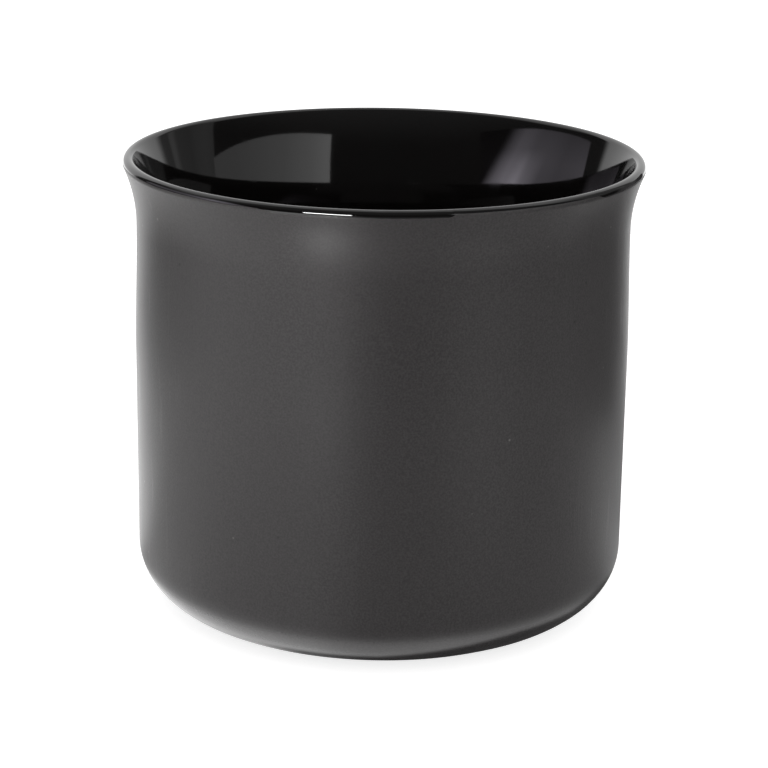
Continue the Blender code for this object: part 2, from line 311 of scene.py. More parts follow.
def ring_mesh(name, rings, closed):
    """A mesh of rings of points, welded where they meet, facing outwards and shaded smooth."""
    count, steps = rings.shape[:2]
    mesh = bpy.data.meshes.new(name)
    mesh.from_pydata(rings.reshape(-1, 3).tolist(), [], ring_faces(count, steps, closed))
    shape = bmesh.new()
    shape.from_mesh(mesh)
    bmesh.ops.remove_doubles(shape, verts=shape.verts, dist=WELD_DISTANCE)
    bmesh.ops.recalc_face_normals(shape, faces=shape.faces)
    shape.to_mesh(mesh)
    shape.free()
    mesh.shade_smooth()
    return mesh


def turned_mesh(name, rows, closed):
    """A mesh of rows turned round the bowl's axis."""
    angles = np.radians(TURNS)
    across = rows[..., 0] * np.sin(angles)
    behind = BOWL_AXIS_Y - rows[..., 0] * np.cos(angles)
    return ring_mesh(name, np.stack((across, behind, rows[..., 1]), axis=-1), closed)


def add_piece(name, mesh, material, replaced):
    """Put a piece of the mug in the scene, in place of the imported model's own."""
    mesh.materials.append(material)
    piece = bpy.data.objects.new(name, mesh)
    bpy.context.scene.collection.objects.link(piece)
    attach(piece, "root")
    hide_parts(replaced)


def make_outer_coat(material):
    """The matt coat outside, from its edge on the lip down to the foot."""
    lip = lip_arc(GLOSS_ENDS, -OUTER_LEAN, LIP_STEPS)
    surface = np.concatenate((lip, all_round(outer_profile())[1:]))
    surface = hand_wave(surface, *OUTER_WAVE)
    right = right_of(surface)
    first, last = ends_of(surface)
    head = rounded_edge(surface[0], first, right[0], EDGE_BEAD, GLAZE_THICKNESS)[::-1]
    foot = rounded_edge(surface[-1], last, right[-1], PATCH_BEAD, GLAZE_THICKNESS)
    under = (surface + right * GLAZE_THICKNESS)[::UNDERSIDE_STRIDE][::-1]
    rows = np.concatenate((head, surface, foot, under[1:-1]))
    mesh = turned_mesh("outer_matt_coat", rows, True)
    add_piece("outer_matt_coat", mesh, material, "outer_matt_glaze")


def make_inner_coat(material):
    """The gloss coat inside and over the lip, to its edge against the matt."""
    lip = lip_arc(math.pi - INNER_LEAN, GLOSS_ENDS, 3 * LIP_STEPS)
    surface = np.concatenate((all_round(inner_profile()), lip[1:]))
    surface = hand_wave(surface, *INNER_WAVE)
    right = right_of(surface)
    end = ends_of(surface)[1]
    head = rounded_edge(surface[-1], end, right[-1], EDGE_BEAD, GLAZE_THICKNESS)
    under = (surface + right * GLAZE_THICKNESS)[::UNDERSIDE_STRIDE][::-1]
    rows = np.concatenate((surface, head, under[1:]))
    rows[0, :, 0] = 0.0
    rows[-1, :, 0] = 0.0
    rows[0, :, 1] = rows[0, 0, 1]
    rows[-1, :, 1] = rows[-1, 0, 1]
    mesh = turned_mesh("inner_gloss_coat", rows, False)
    add_piece("inner_gloss_coat", mesh, material, "inner_gloss_glaze")


def make_clay_body(material):
    """The clay cup under the coats, whose foot ring is bare."""
    lip = arc(
        (LIP_CENTRE_RADIUS, LIP_CENTRE_HEIGHT),
        LIP_RADIUS,
        math.pi - INNER_LEAN,
        -OUTER_LEAN,
        2 * LIP_STEPS,
    )
    glazed = np.concatenate((inner_profile(), lip[1:], outer_profile()[1:]))
    right = right_of(glazed[:, None, :])[:, 0, :]
    clay = glazed + right * COAT_DEPTH
    clay[0, 0] = 0.0
    foot_inner = FOOT_RADIUS - FOOT_WIDTH
    parts = (
        clay[::CLAY_STRIDE],
        [(FOOT_RADIUS, GLAZE_ABOVE_TABLE + COAT_DEPTH)],
        arc((FOOT_RADIUS - FOOT_ROUND, FOOT_ROUND), FOOT_ROUND, 0.0, -math.pi / 2, FOOT_STEPS),
        arc(
            (foot_inner + FOOT_ROUND, FOOT_ROUND), FOOT_ROUND, -math.pi / 2, -math.pi, FOOT_STEPS
        ),
        arc(
            (foot_inner - RECESS_CORNER, RECESS_HEIGHT - RECESS_CORNER),
            RECESS_CORNER,
            0.0,
            math.pi / 2,
            FOOT_STEPS,
        ),
        [(0.0, RECESS_HEIGHT)],
    )
    profile = np.concatenate([np.asarray(part, dtype=float) for part in parts])
    mesh = turned_mesh("clay_body", all_round(profile), False)
    add_piece("clay_body", mesh, material, "stoneware_body")


def make_recess_coat(material):
    """The patch of matt glaze in the recess under the foot, with a rounded edge."""
    top = RECESS_HEIGHT - COAT_GAP
    radius = FOOT_RADIUS - FOOT_WIDTH - RECESS_CORNER
    bead = GLAZE_THICKNESS / 2
    edge = arc((radius - bead, top - bead), bead, math.pi / 2, -math.pi / 2, 2 * BEAD_STEPS)
    face = line(edge[-1], (0.0, top - GLAZE_THICKNESS), FLOOR_STEPS)
    profile = np.concatenate(([(0.0, top)], edge, face[1:]))
    mesh = turned_mesh("recess_coat", all_round(profile), False)
    add_piece("recess_coat", mesh, material, "underside_glaze")


def bezier(start, first, second, end, shares):
    """Points on a cubic curve."""
    rest = 1 - shares
    return (
        np.outer(rest**3, start)
        + np.outer(3 * rest**2 * shares, first)
        + np.outer(3 * rest * shares**2, second)
        + np.outer(shares**3, end)
    )


def strap_line(count):
    """Points along the strap's centre line, as (distance from the bowl's axis, height)."""
    top = np.array((WALL_RADIUS, HANDLE_TOP))
    middle = np.array((HANDLE_REACH - HANDLE_THICKNESS / 2, HANDLE_MIDDLE))
    bottom = np.array((WALL_RADIUS, HANDLE_BOTTOM))
    shoulder = top + (SHOULDER_RUN, SHOULDER_LIFT)
    above = middle + (0.0, SHOULDER_DROP)
    under = middle - (0.0, HEEL_RISE)
    heel = bottom + (HEEL_RUN, -HEEL_DIP)
    shares = np.linspace(0.0, 1.0, count + 1)
    upper = bezier(top, shoulder, above, middle, shares)
    lower = bezier(middle, under, heel, bottom, shares)
    return np.concatenate((upper, lower[1:]))


def ring_places():
    """Centre, direction and distance from the wall of each ring along the strap."""
    fine = strap_line(FINE_STEPS)
    runs = np.concatenate(([0.0], np.cumsum(np.linalg.norm(np.diff(fine, axis=0), axis=1))))
    along = np.gradient(fine, axis=0)
    along /= np.linalg.norm(along, axis=1, keepdims=True)
    whole = runs[-1]
    angles = np.linspace(0.0, math.pi / 2, FILLET_STEPS + 1)
    fillet_runs = ROOT_FILLET * (1 - np.cos(angles))
    middle_runs = np.linspace(ROOT_FILLET, whole - ROOT_FILLET, STRAP_STEPS + 1)[1:-1]
    stations = np.concatenate(
        ([-ROOT_SINK], fillet_runs, middle_runs, whole - fillet_runs[::-1], [whole + ROOT_SINK])
    )
    centres = np.stack([np.interp(stations, runs, fine[:, k]) for k in range(2)], axis=1)
    directions = np.stack([np.interp(stations, runs, along[:, k]) for k in range(2)], axis=1)
    from_wall = np.minimum(stations, whole - stations)
    centres[0, 0] -= ROOT_SINK
    centres[-1, 0] -= ROOT_SINK
    centres[:, 0] -= ROOT_SETTLE * np.clip(1 - from_wall / ROOT_FILLET, 0.0, 1.0)
    return centres, directions, from_wall


def strap_rings(inwards):
    """Rings of the strap's section, moved inwards by a coat's thickness or not at all."""
    centres, directions, from_wall = ring_places()
    corners = np.linspace(0.0, 2 * math.pi, STRAP_TURN, endpoint=False)
    across = np.sign(np.cos(corners)) * np.abs(np.cos(corners)) ** (2 / STRAP_FULLNESS)
    through = np.sign(np.sin(corners)) * np.abs(np.sin(corners)) ** (2 / STRAP_FULLNESS)
    rings = []
    for centre, direction, away in zip(centres, directions, from_wall):
        near = max(1.0 - max(away, 0.0) / ROOT_LENGTH, 0.0)
        spread = 1.0 + (ROOT_SPREAD - 1.0) * near**2
        reach = min(max(ROOT_FILLET - max(away, 0.0), 0.0), ROOT_FILLET)
        fillet = ROOT_FILLET - math.sqrt(ROOT_FILLET**2 - reach**2)
        half_width = HANDLE_WIDTH / 2 * spread + fillet - inwards
        half_depth = HANDLE_THICKNESS / 2 * spread + fillet - inwards
        hug = 1.0 - float(ease(0.0, ROOT_BLEND, away))
        normal = np.array((-direction[1], direction[0]))
        upright = np.array((0.0, 1.0 if normal[1] > 0 else -1.0))
        normal = normal * (1 - hug) + upright * hug
        normal /= np.linalg.norm(normal)
        sideways = half_width * across
        outwards = centre[0] + half_depth * through * normal[0]
        heights = centre[1] + half_depth * through * normal[1]
        curve = np.sqrt(wall_radius(heights) ** 2 - sideways**2) - WALL_RADIUS
        rings.append(
            np.stack((sideways, BOWL_AXIS_Y + outwards + hug * curve, heights), axis=1)
        )
    return np.array(rings)


def make_handle_coat(material):
    """The matt coat round the handle, which flows into the wall's at both roots."""
    rings = np.concatenate((strap_rings(0.0), strap_rings(GLAZE_THICKNESS)[::-1]))
    mesh = ring_mesh("handle_coat", rings, True)
    add_piece("handle_coat", mesh, material, "handle_matt_glaze")


def new_node(tree, kind, settings=None, **inputs):
    """Add a shader node, with its settings, and its inputs as values or links by socket name."""
    node = tree.nodes.new(kind)
    for name, value in (settings or {}).items():
        setattr(node, name, value)
    for name, value in inputs.items():
        key = int(name[1:]) if name[0] == "_" else name.replace("_", " ")
        connect(tree, node.inputs[key], value)
    return node


def connect(tree, socket, value):
    """Link a socket to another, or give it a value."""
    if isinstance(value, bpy.types.NodeSocket):
        tree.links.new(value, socket)
    elif isinstance(value, tuple) and len(value) == 3 and len(socket.default_value) == 4:
        socket.default_value = (*value, 1.0)
    else:
        socket.default_value = value


def maths(tree, operation, first, second=0.0, third=0.0, clamp=False):
    """One step of arithmetic on values."""
    settings = {"operation": operation, "use_clamp": clamp}
    node = new_node(tree, "ShaderNodeMath", settings, _0=first, _1=second, _2=third)
    return node.outputs[0]


def remap(tree, value, low, high, new_low=0.0, new_high=1.0, smooth=False):
    """Turn one range of values into another and hold it at its ends."""
    settings = {"interpolation_type": "SMOOTHSTEP" if smooth else "LINEAR", "clamp": True}
    ranges = {"_1": low, "_2": high, "_3": new_low, "_4": new_high}
    return new_node(tree, "ShaderNodeMapRange", settings, _0=value, **ranges).outputs[0]


def ease_between(tree, value, low, high):
    """Rise smoothly from 0 at low to 1 at high, in a shader."""
    return remap(tree, value, low, high, smooth=True)


def parts_of(tree, vector):
    """The x, y and z of a vector."""
    return new_node(tree, "ShaderNodeSeparateXYZ", None, Vector=vector).outputs


def own_place(tree):
    """The object's own coordinates."""
    return tree.nodes.new("ShaderNodeTexCoord").outputs["Object"]


def noise_value(tree, place, scale, detail, roughness, distortion=0.0):
    """The value of a noise pattern at a place."""
    inputs = {"Scale": scale, "Detail": detail, "Roughness": roughness, "Distortion": distortion}
    return new_node(tree, "ShaderNodeTexNoise", None, Vector=place, **inputs).outputs[0]


def blend_colours(tree, share, first, second):
    """Mix two colours."""
    node = new_node(tree, "ShaderNodeMix", {"data_type": "RGBA"})
    connect(tree, node.inputs[0], share)
    connect(tree, node.inputs[6], first)
    connect(tree, node.inputs[7], second)
    return node.outputs[2]


def mix_in(tree, tone, mask, strength, colour):
    """Mix a colour into a tone where its mask is, as strongly as it says."""
    return blend_colours(tree, maths(tree, "MULTIPLY", mask, strength), tone, colour)


def new_group(name, output, **values):
    """Start a node group that takes a vector and named values.

    Returns its tree, its given sockets and the socket of its output.
    """
    tree = bpy.data.node_groups.new(name, "ShaderNodeTree")
    tree.interface.new_socket("Vector", in_out="INPUT", socket_type="NodeSocketVector")
    for label, value in values.items():
        socket = tree.interface.new_socket(label, in_out="INPUT", socket_type="NodeSocketFloat")
        socket.default_value = value
    tree.interface.new_socket(output, in_out="OUTPUT", socket_type="NodeSocketFloat")
    given = tree.nodes.new("NodeGroupInput").outputs
    return tree, given, tree.nodes.new("NodeGroupOutput").inputs[output]


NOISE_MIDDLE = 0.5
SPECK_CORE = 0.5
STREAK_EDGE = 0.15


def make_fine_grain():
    """Group: the fine tooth of fired glaze or clay, as a value round 0.5."""
    tree, given, put = new_group("fine_grain", "Value", Grain=2000.0, Softness=0.5)
    fine = noise_value(tree, given["Vector"], given["Grain"], 3.0, given["Softness"])
    tree.links.new(fine, put)
    return tree


def make_cloudy_tone():
    """Group: the slow change of tone and gloss over a dipped coat, as a value from 0 to 1."""
    tree, given, put = new_group("cloudy_tone", "Value", Size=40.0, Contrast=0.2)
    cloud = noise_value(tree, given["Vector"], given["Size"], 2.0, 0.5, distortion=0.3)
    low = maths(tree, "SUBTRACT", NOISE_MIDDLE, given["Contrast"])
    high = maths(tree, "ADD", NOISE_MIDDLE, given["Contrast"])
    tree.links.new(remap(tree, cloud, low, high), put)
    return tree


def make_scattered_specks():
    """Group: small round specks, a share of the cells of a pattern, as a mask."""
    tree, given, put = new_group("scattered_specks", "Mask", Cells=300.0, Share=0.1, Size=0.1)
    inputs = {"Vector": given["Vector"], "Scale": given["Cells"]}
    cells = new_node(tree, "ShaderNodeTexVoronoi", {"feature": "F1"}, **inputs).outputs
    settings = {"noise_dimensions": "3D"}
    pick = new_node(tree, "ShaderNodeTexWhiteNoise", settings, Vector=cells["Color"])
    chosen = maths(tree, "LESS_THAN", pick.outputs["Value"], given["Share"])
    core = maths(tree, "MULTIPLY", given["Size"], SPECK_CORE)
    spot = remap(tree, cells["Distance"], given["Size"], core)
    tree.links.new(maths(tree, "MULTIPLY", spot, chosen), put)
    return tree


def make_wipe_streaks():
    """Group: faint upright streaks where the wet coat ran or was wiped, as a mask."""
    values = {"Fineness": 300.0, "Length": 12.0, "Threshold": 0.6}
    tree, given, put = new_group("wipe_streaks", "Mask", **values)
    x, y, z = parts_of(tree, given["Vector"])
    short = maths(tree, "DIVIDE", z, given["Length"])
    drawn = new_node(tree, "ShaderNodeCombineXYZ", None, X=x, Y=y, Z=short).outputs[0]
    streak = noise_value(tree, drawn, given["Fineness"], 2.0, 0.6)
    high = maths(tree, "ADD", given["Threshold"], STREAK_EDGE)
    tree.links.new(remap(tree, streak, given["Threshold"], high), put)
    return tree


FINE_GRAIN = make_fine_grain()
CLOUDY_TONE = make_cloudy_tone()
SCATTERED_SPECKS = make_scattered_specks()
WIPE_STREAKS = make_wipe_streaks()


def use_group(tree, group, place, **inputs):
    """Put a group in a material at the mug's own coordinates, and return its output."""
    return new_node(
        tree, "ShaderNodeGroup", {"node_tree": group}, Vector=place, **inputs
    ).outputs[0]


def new_material(name, diffuse):
    """Start a material, and return it with its tree, shader and the mug's own coordinates."""
    material = bpy.data.materials.new(name)
    material.use_nodes = True
    material.diffuse_color = (*diffuse, 1.0)
    tree = material.node_tree
    return material, tree, tree.nodes["Principled BSDF"], own_place(tree)


def dress(tree, shader, tone, rough, height, **bump):
    """Give a shader its colour, its roughness and a bump of some strength and distance."""
    connect(tree, shader.inputs["Base Color"], tone)
    connect(tree, shader.inputs["Roughness"], rough)
    raised = new_node(tree, "ShaderNodeBump", None, Height=height, **bump)
    connect(tree, shader.inputs["Normal"], raised.outputs[0])


# The matt glaze: the two tones of its body, and the tones of its grain and its specks
MATT_TONES = ((0.0256, 0.0235, 0.0240), (0.0291, 0.0268, 0.0273))
MATT_GRAIN_TONE = (0.0422, 0.0387, 0.0394)
MATT_GRAIN_RANGE = (0.35, 0.65)
MATT_DARK_SPECK = (0.006, 0.006, 0.006)
MATT_PALE_SPECK = (0.16, 0.155, 0.15)
MATT_ROUGHNESS = (0.37, 0.40)
MATT_STREAK_GLOSS = 0.05
MATT_STREAK_HEIGHT = 0.5
DARK_SPECK_SHARE = 0.7
PALE_SPECK_SHARE = 0.6

# It is glossier where it gathers near the foot: the heights, and its share of the roughness there
GATHERED_GLAZE = (0.0060, 0.0100)
GATHERED_GLOSS = 0.58

# The gloss glaze, whose pits show as pale specks
GLOSS_TONES = ((0.0022, 0.0019, 0.0019), (0.0037, 0.0032, 0.0031))
GLOSS_PIT = (0.05, 0.048, 0.045)
GLOSS_ROUGHNESS = (0.045, 0.060)
GLOSS_STREAK_ROUGHNESS = 0.03
PIT_SHARE = 0.5

# Fired clay and slip, with grit in it
CLAY_GRIT = (0.12, 0.08, 0.05)
CLAY_GRAIN_RANGE = (0.3, 0.7)
CLAY_ROUGHNESS_SPAN = 0.06
CLAY_GRAIN_SHARE = 0.3
GRIT_SHARE = 0.7
GRIT_DEPTH = 0.4


def make_matt_glaze():
    """The dark grey matt glaze outside."""
    material, tree, shader, place = new_material("matt_charcoal_glaze", (0.033, 0.032, 0.031))
    shader.inputs["Specular IOR Level"].default_value = 0.3
    grain = use_group(tree, FINE_GRAIN, place, Grain=2700.0, Softness=0.5)
    cloud = use_group(tree, CLOUDY_TONE, place, Size=38.0, Contrast=0.22)
    pale = use_group(tree, SCATTERED_SPECKS, place, Cells=420.0, Share=0.035, Size=0.13)
    dark = use_group(tree, SCATTERED_SPECKS, place, Cells=260.0, Share=0.03, Size=0.10)
    streak = use_group(tree, WIPE_STREAKS, place, Fineness=620.0, Length=11.0, Threshold=0.60)

    tone = blend_colours(tree, cloud, *MATT_TONES)
    grainy = remap(tree, grain, *MATT_GRAIN_RANGE)
    tone = blend_colours(tree, grainy, tone, MATT_GRAIN_TONE)
    tone = mix_in(tree, tone, dark, DARK_SPECK_SHARE, MATT_DARK_SPECK)
    tone = mix_in(tree, tone, pale, PALE_SPECK_SHARE, MATT_PALE_SPECK)

    rough = remap(tree, cloud, 0.0, 1.0, *MATT_ROUGHNESS)
    rough = maths(tree, "MULTIPLY_ADD", streak, -MATT_STREAK_GLOSS, rough)
    rise = parts_of(tree, place)[2]
    gathered = remap(tree, rise, *GATHERED_GLAZE, GATHERED_GLOSS, 1.0, smooth=True)
    rough = maths(tree, "MULTIPLY", rough, gathered)

    height = maths(tree, "MULTIPLY_ADD", pale, PALE_SPECK_SHARE, grain)
    height = maths(tree, "MULTIPLY_ADD", streak, MATT_STREAK_HEIGHT, height)
    dress(tree, shader, tone, rough, height, Strength=0.6, Distance=0.00003)
    return material


def make_gloss_glaze():
    """The black gloss glaze inside and on the lip."""
    material, tree, shader, place = new_material("black_gloss_glaze", (0.003, 0.003, 0.003))
    cloud = use_group(tree, CLOUDY_TONE, place, Size=60.0, Contrast=0.25)
    ripple = use_group(tree, FINE_GRAIN, place, Grain=420.0, Softness=0.4)
    pits = use_group(tree, SCATTERED_SPECKS, place, Cells=300.0, Share=0.02, Size=0.09)
    streak = use_group(tree, WIPE_STREAKS, place, Fineness=180.0, Length=9.0, Threshold=0.60)

    tone = blend_colours(tree, cloud, *GLOSS_TONES)
    tone = mix_in(tree, tone, pits, PIT_SHARE, GLOSS_PIT)
    rough = remap(tree, cloud, 0.0, 1.0, *GLOSS_ROUGHNESS)
    rough = maths(tree, "MULTIPLY_ADD", streak, GLOSS_STREAK_ROUGHNESS, rough)
    height = maths(tree, "MULTIPLY_ADD", pits, -PIT_SHARE, ripple)
    dress(tree, shader, tone, rough, height, Strength=0.25, Distance=0.00001)
    return material


def make_clay(name, pale, deep, roughness):
    """Unglazed fired clay or slip, with its grain and grit."""
    material, tree, shader, place = new_material(name, pale)
    grain = use_group(tree, FINE_GRAIN, place, Grain=1800.0, Softness=0.7)
    cloud = use_group(tree, CLOUDY_TONE, place, Size=90.0, Contrast=0.25)
    grit = use_group(tree, SCATTERED_SPECKS, place, Cells=700.0, Share=0.10, Size=0.22)

    tone = blend_colours(tree, cloud, pale, deep)
    tone = mix_in(tree, tone, grain, CLAY_GRAIN_SHARE, deep)
    tone = mix_in(tree, tone, grit, GRIT_SHARE, CLAY_GRIT)
    smoother = roughness - CLAY_ROUGHNESS_SPAN
    rough = remap(tree, grain, *CLAY_GRAIN_RANGE, smoother, roughness)
    height = maths(tree, "MULTIPLY_ADD", grit, -GRIT_DEPTH, grain)
    dress(tree, shader, tone, rough, height, Strength=0.7, Distance=0.00006)
    return material


# The studio. The camera sees its white floor. The panels, card, canopy, surround and lip light
# stand for the lights and the dark room round it, and only gloss sees them: they paint its
# reflections. The floor also holds painted pools of light, glints and shade that only gloss sees.
# Places on the floor are from the bowl's axis. A reach is a ray's length at which a light starts
# to show, and then one at which it shows in full.
FLOOR_HALF_SIZE = 12.0
FLOOR_TONE = 0.60
FLOOR_GLOW = 0.78
FLOOR_GLOW_IN_GLOSS = 0.13

# Painted pools of light on the floor, which only gloss sees: their strength near the mug and
# further out, then the turn angles at which each starts, is full, begins to go and has gone
FLOOR_POOLS = (
    (0.85, 1.65, 0.0, -21.0, -70.0, -135.0),
    (0.95, 1.50, -110.0, -140.0, -181.0, -182.0),
    (1.45, 0.0, -98.0, -112.0, -181.0, -182.0),
    (0.0, 0.95, 22.0, 32.0, 46.0, 60.0),
    (0.35, 0.0, 84.0, 96.0, 108.0, 120.0),
    (0.0, 2.20, 138.0, 150.0, 181.0, 182.0),
)
POOL_SPAN = (0.09, 0.20)
# A painted glint and a soft painted sheen on the floor, which gloss sees from far off, and a patch of
# painted shade
GLINT_PLACE = (-0.0571, -0.1369)
GLINT_RADIUS = 0.022
GLINT_CORE = 0.008
GLINT_STRENGTH = 20.0
GLINT_REACH = (0.112, 0.126)
SHEEN_PLACE = (0.0, -0.16)
SHEEN_RADIUS = 0.08
SHEEN_STRENGTH = 0.35
SHADE_PLACE = (-0.34, 0.09)
SHADE_RADIUS = 0.21

# A painted bright ring on the floor round the foot, which only gloss sees: its strength at the far
# left, left and right, and the turn angles between which it changes, then how far it moves out
# between two turn angles
FOOT_GLOW_FAR_LEFT = 0.6
FOOT_GLOW_LEFT = 2.2
FOOT_GLOW_RIGHT = 0.5
FOOT_GLOW_LEFT_TURNS = (-70.0, -30.0)
FOOT_GLOW_RIGHT_TURNS = (18.0, 62.0)
FOOT_GLOW_SHIFTS = ((0.0, 40.0, 0.0050), (62.0, 80.0, 0.0060))
FOOT_GLOW_WIDENING = 0.35

# The distances at which the ring starts and ends, and where it fades and to which share
FOOT_GLOW_INNER = (0.0427, 0.0447)
FOOT_GLOW_OUTER = (0.0550, 0.0487)
FOOT_GLOW_FADE = (0.0520, 0.0430, 1.0, 0.42)

# Painted shade inside the ring: the share by which the floor's glow and tone are darker to gloss,
# and where it starts
FOOT_SHADE = 0.75
FOOT_SHADE_TURNS = (-34.0, -20.0)

# The canopy, which only gloss sees, paints the reflection of the room: dark in front, lighter high
# up and overhead, with light areas behind. Lifts are in degrees above the floor
CANOPY_RADIUS = 3.2
ROOM_FRONT = 0.055
ROOM_UPPER = 0.12
ROOM_UPPER_LIFTS = (28.0, 50.0)
ROOM_OVERHEAD = 0.80
ROOM_OVERHEAD_LIFTS = (34.0, 58.0)
ROOM_OVERHEAD_BACK = (-0.05, 0.25)
ROOM_LEFT_LIFT = (-60.0, -110.0, 0.0, 8.0)
ROOM_RIGHT_START = (98.0, 99.0)
ROOM_RIGHT_TURNS = (98.0, 136.0)
ROOM_RIGHT = (
    (0.0, 0.26),
    (0.15, 0.28),
    (0.32, 0.23),
    (0.42, 0.17),
    (0.66, 0.16),
    (0.74, 0.31),
    (0.79, 0.30),
    (0.84, 0.12),
    (1.0, 0.12),
)
ROOM_BACK_LEFT = 1.0
ROOM_BACK_LEFT_TURNS = (-131.0, -137.0)
ROOM_BACK_RIGHT = 0.9
ROOM_BACK_RIGHT_TURNS = (134.0, 141.0)

# The surround just above the floor, which only gloss sees and which paints the reflection of the
# dark room: its tone, the tones and turn angles of its painted light areas behind, the turn angles
# of its gap at the left, and the distances between which it comes in
SURROUND_HALF_SIZE = 3.84
SURROUND_HEIGHT = 0.001
SURROUND_TONE = 0.32
SURROUND_BACKS = ((2.0, -130.0, -138.0), (1.9, 138.0, 152.0))
SURROUND_GAP = (0.0, -21.0, -70.0, -135.0)
SURROUND_SPAN = (0.16, 0.35)

# The card: a sheet that paints the reflection of a dark card for gloss within its reach, and the
# trim along its top
CARD_TONE_NEAR = 0.34
CARD_TONE_FAR = 0.12
CARD_REACH = (0.066, 0.060)
CARD_FOOT = 0.0275
CARD_TOP = 0.098
CARD_NEAR_END = (0.088, -0.025)
CARD_FAR_END = (0.0785, 0.021)
TRIM_FAR_END = (0.0756, 0.035)
TRIM_FOOT = 0.0725
TRIM_START = (0.0755, 0.0775)
TRIM_TONES = ((-0.007, 0.03), (0.001, 0.20), (0.014, 0.20), (0.022, 0.08))

# The panels' top. Where they start to fade and where their low glow ends are shares of their height
PANEL_TOP = 0.622
PANEL_FADE_START = 0.35
PANEL_LOW_GLOW_TOP = 0.6
# The lip light: a small glowing strip that paints the highlight on the lip's front for gloss
LIP_LIGHT_PLACE = (-0.0294, -0.0940, 0.104)
LIP_LIGHT_SIZE = (0.027, 0.007)
LIP_LIGHT_ALONG = (0.866, -0.5, 0.0)
LIP_LIGHT_STRENGTH = 60.0
LIP_LIGHT_REACH = (0.080, 0.070)


def add_stage(name, material, points, faces=((0, 1, 2, 3),), only_gloss=True):
    """Put a thing of the studio in the scene."""
    mesh = bpy.data.meshes.new(name)
    mesh.from_pydata(points, [], faces)
    mesh.materials.append(material)
    mesh.shade_smooth()
    obj = bpy.data.objects.new(name, mesh)
    bpy.context.scene.collection.objects.link(obj)
    if only_gloss:
        obj.visible_camera = False
        obj.visible_diffuse = False
        obj.visible_transmission = False
        obj.visible_volume_scatter = False
        obj.visible_shadow = False
    return obj


def square(reach, height):
    """Corners of a level square over the origin."""
    return [(x * reach, y * reach, height) for x, y in ((-1, -1), (1, -1), (1, 1), (-1, 1))]


def glow_material(name, sampled=False):
    """Start a material that only glows, and return it with its tree and emission node."""
    material = bpy.data.materials.new(name)
    material.use_nodes = True
    if not sampled:
        material.cycles.emission_sampling = "NONE"
    tree = material.node_tree
    tree.nodes.clear()
    glow = tree.nodes.new("ShaderNodeEmission")
    tree.links.new(glow.outputs[0], tree.nodes.new("ShaderNodeOutputMaterial").inputs["Surface"])
    return material, tree, glow


def show_by(tree, glow, cover):
    """Let a light show as far as its cover says, and be clear for the rest."""
    clear = tree.nodes.new("ShaderNodeBsdfTransparent")
    both = tree.nodes.new("ShaderNodeMixShader")
    for socket, value in zip(both.inputs, (cover, clear.outputs[0], glow.outputs[0])):
        tree.links.new(value, socket)
    tree.links.new(both.outputs[0], tree.nodes["Material Output"].inputs["Surface"])


def only_within(tree, glow, reach):
    """Let a light show only to gloss within its reach, and be clear to what is further off."""
    path = tree.nodes.new("ShaderNodeLightPath")
    show_by(tree, glow, ease_between(tree, path.outputs["Ray Length"], *reach))


def place_on_floor(tree):
    """Turn angle in degrees and distance from the bowl's axis, of a point of the floor."""
    place = own_place(tree)
    x, y, _ = parts_of(tree, place)
    ahead = maths(tree, "SUBTRACT", BOWL_AXIS_Y, y)
    squares = maths(tree, "MULTIPLY_ADD", x, x, maths(tree, "MULTIPLY", ahead, ahead))
    turn = maths(tree, "DEGREES", maths(tree, "ARCTAN2", x, ahead))
    return turn, maths(tree, "SQRT", squares), place


def between_turns(tree, turn, start, full, going, gone):
    """Mask that starts, is full, begins to go and has gone at four turn angles."""
    coming = ease_between(tree, turn, start, full)
    return maths(tree, "MULTIPLY", coming, ease_between(tree, turn, gone, going))


def disc(tree, place, middle, radius, core=0.0):
    """Mask of a soft round patch of the floor."""
    spot = new_node(tree, "ShaderNodeVectorMath", {"operation": "DISTANCE"}, _0=place)
    spot.inputs[1].default_value = (middle[0], BOWL_AXIS_Y + middle[1], 0.0)
    return ease_between(tree, spot.outputs["Value"], radius, core)


def floor_light(tree, turn, distance, place, ray_length):
    """The painted light on the floor that gloss sees: its pools, a patch of painted shade, and its
    glint and sheen from far off.
    """
    further = ease_between(tree, distance, *POOL_SPAN)
    glow = FLOOR_GLOW_IN_GLOSS
    for near, far, *turns in FLOOR_POOLS:
        strength = maths(tree, "MULTIPLY_ADD", further, far - near, near)
        glow = maths(tree, "MULTIPLY_ADD", strength, between_turns(tree, turn, *turns), glow)
    # A patch of painted shade dims the painted pools
    shade = disc(tree, place, SHADE_PLACE, SHADE_RADIUS)
    glow = maths(tree, "MULTIPLY", glow, maths(tree, "SUBTRACT", 1.0, shade))
    glint = disc(tree, place, GLINT_PLACE, GLINT_RADIUS, GLINT_CORE)
    glint = maths(tree, "MULTIPLY", glint, GLINT_STRENGTH)
    sheen = disc(tree, place, SHEEN_PLACE, SHEEN_RADIUS)
    glint = maths(tree, "MULTIPLY_ADD", sheen, SHEEN_STRENGTH, glint)
    return maths(tree, "MULTIPLY_ADD", glint, ease_between(tree, ray_length, *GLINT_REACH), glow)


